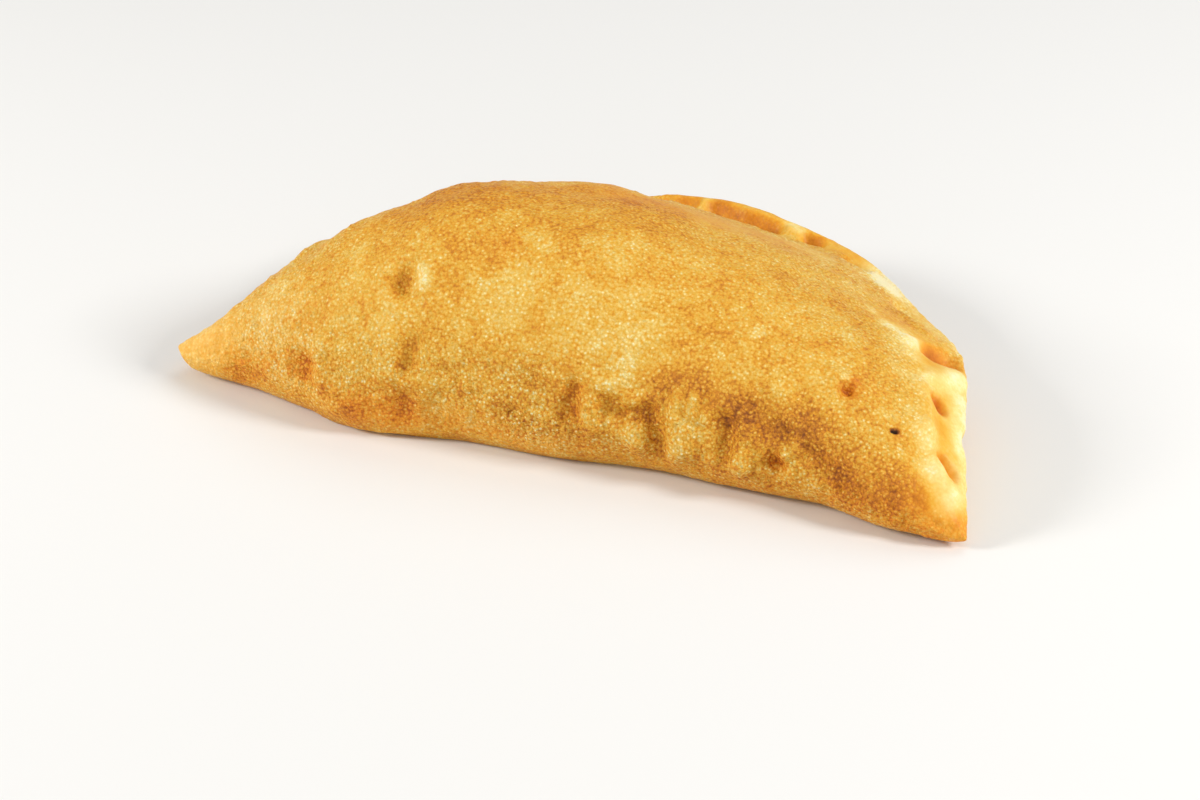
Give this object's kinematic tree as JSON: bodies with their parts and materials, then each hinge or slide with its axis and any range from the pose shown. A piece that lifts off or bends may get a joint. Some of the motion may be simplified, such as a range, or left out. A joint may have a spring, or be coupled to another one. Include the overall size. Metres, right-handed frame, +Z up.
{
  "type": "panzerotto",
  "caption": "Folded half-moon savoury turnover of golden fried dough, puffed over its filling, with a round fold along the front and a crimped rim round the back.",
  "frame": {"origin": "on the ground, under the middle of the bounding box", "axes": "+X runs along the fold from the rounded end to the crimped end, +Y points from the fold at the front to the sealed rim at the back, +Z is up"},
  "size_m": [0.2, 0.1092, 0.0497],
  "materials": {
    "fried_crust": "golden fried dough crust, fine-grained, browner low at the front and paler at the crimped end, with a faint sheen of oil"
  },
  "bodies": {
    "root": {"panzerotto": "fried_crust"}
  },
  "joints": []
}
